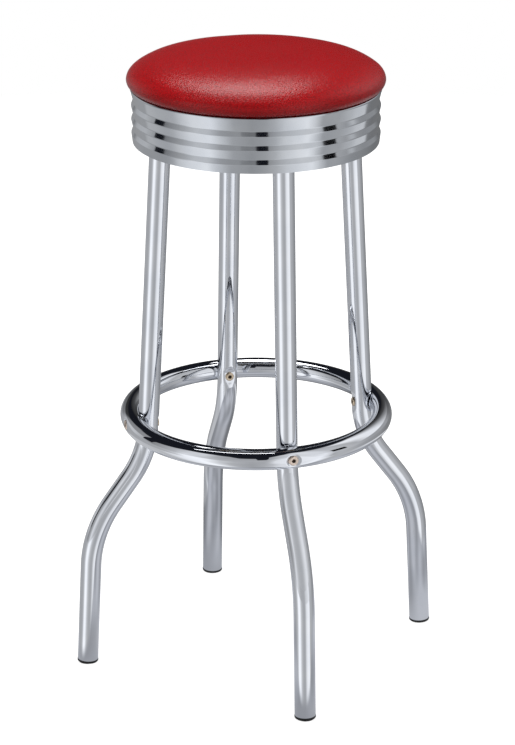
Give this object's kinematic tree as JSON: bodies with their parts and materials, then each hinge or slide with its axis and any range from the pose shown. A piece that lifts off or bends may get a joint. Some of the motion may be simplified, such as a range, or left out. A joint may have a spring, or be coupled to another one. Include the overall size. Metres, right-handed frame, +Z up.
{
  "type": "counter stool",
  "caption": "Round padded swivel stool on bent tube legs with a ring footrest and a ribbed metal band under the cushion.",
  "frame": {"origin": "centre of the four glides on the floor", "axes": "+Z up along the swivel axis; a leg stands on each of +X, +Y, -X and -Y"},
  "size_m": [0.462, 0.462, 0.762],
  "materials": {
    "chrome_tube": "polished plate",
    "chrome_band": "polished plate",
    "black_plastic": "moulded",
    "nickel_plate": "satin plate",
    "brass_plate": "plated",
    "zinc_plate": "zinc plate",
    "bearing_steel": "ground",
    "plywood": "raw",
    "seat_foam": "open cell foam",
    "red_vinyl": "fine grained vinyl"
  },
  "bodies": {
    "frame": {"leg_right": "chrome_tube", "glide_right": "black_plastic", "ring_bolt_right": "nickel_plate", "barrel_nut_right": "brass_plate", "arm_bolt_inner_right": "zinc_plate", "arm_bolt_outer_right": "zinc_plate", "leg_back": "chrome_tube", "glide_back": "black_plastic", "ring_bolt_back": "nickel_plate", "barrel_nut_back": "brass_plate", "arm_bolt_inner_back": "zinc_plate", "arm_bolt_outer_back": "zinc_plate", "leg_left": "chrome_tube", "glide_left": "black_plastic", "ring_bolt_left": "nickel_plate", "barrel_nut_left": "brass_plate", "arm_bolt_inner_left": "zinc_plate", "arm_bolt_outer_left": "zinc_plate", "leg_front": "chrome_tube", "glide_front": "black_plastic", "ring_bolt_front": "nickel_plate", "barrel_nut_front": "brass_plate", "arm_bolt_inner_front": "zinc_plate", "arm_bolt_outer_front": "zinc_plate", "foot_ring": "chrome_tube", "swivel_lower_plate": "zinc_plate", "swivel_rivet": "zinc_plate"},
    "ball_set": {"ball_cage": "brass_plate", "swivel_ball_1": "bearing_steel", "swivel_ball_2": "bearing_steel", "swivel_ball_3": "bearing_steel", "swivel_ball_4": "bearing_steel", "swivel_ball_5": "bearing_steel", "swivel_ball_6": "bearing_steel", "swivel_ball_7": "bearing_steel", "swivel_ball_8": "bearing_steel", "swivel_ball_9": "bearing_steel", "swivel_ball_10": "bearing_steel", "swivel_ball_11": "bearing_steel", "swivel_ball_12": "bearing_steel"},
    "seat": {"swivel_upper_plate": "zinc_plate", "plate_screw_1": "zinc_plate", "plate_screw_2": "zinc_plate", "plate_screw_3": "zinc_plate", "plate_screw_4": "zinc_plate", "hoop_screw_1": "zinc_plate", "hoop_screw_2": "zinc_plate", "hoop_screw_3": "zinc_plate", "hoop_screw_4": "zinc_plate", "seat_board": "plywood", "seat_foam": "seat_foam", "seat_cover": "red_vinyl", "seat_band": "chrome_band", "band_hoop": "zinc_plate"}
  },
  "joints": [
    {"name": "seat_swivel", "type": "hinge", "parent": "frame", "child": "seat", "pos_m": [0, 0, 0.7181], "axis": [0, 0, 1], "continuous": true},
    {"name": "ball_set_roll", "type": "hinge", "parent": "frame", "child": "ball_set", "pos_m": [0, 0, 0.7181], "axis": [0, 0, 1], "continuous": true}
  ],
  "couplings": [
    {"joint": "ball_set_roll", "follows": "seat_swivel", "ratio": 0.5}
  ]
}
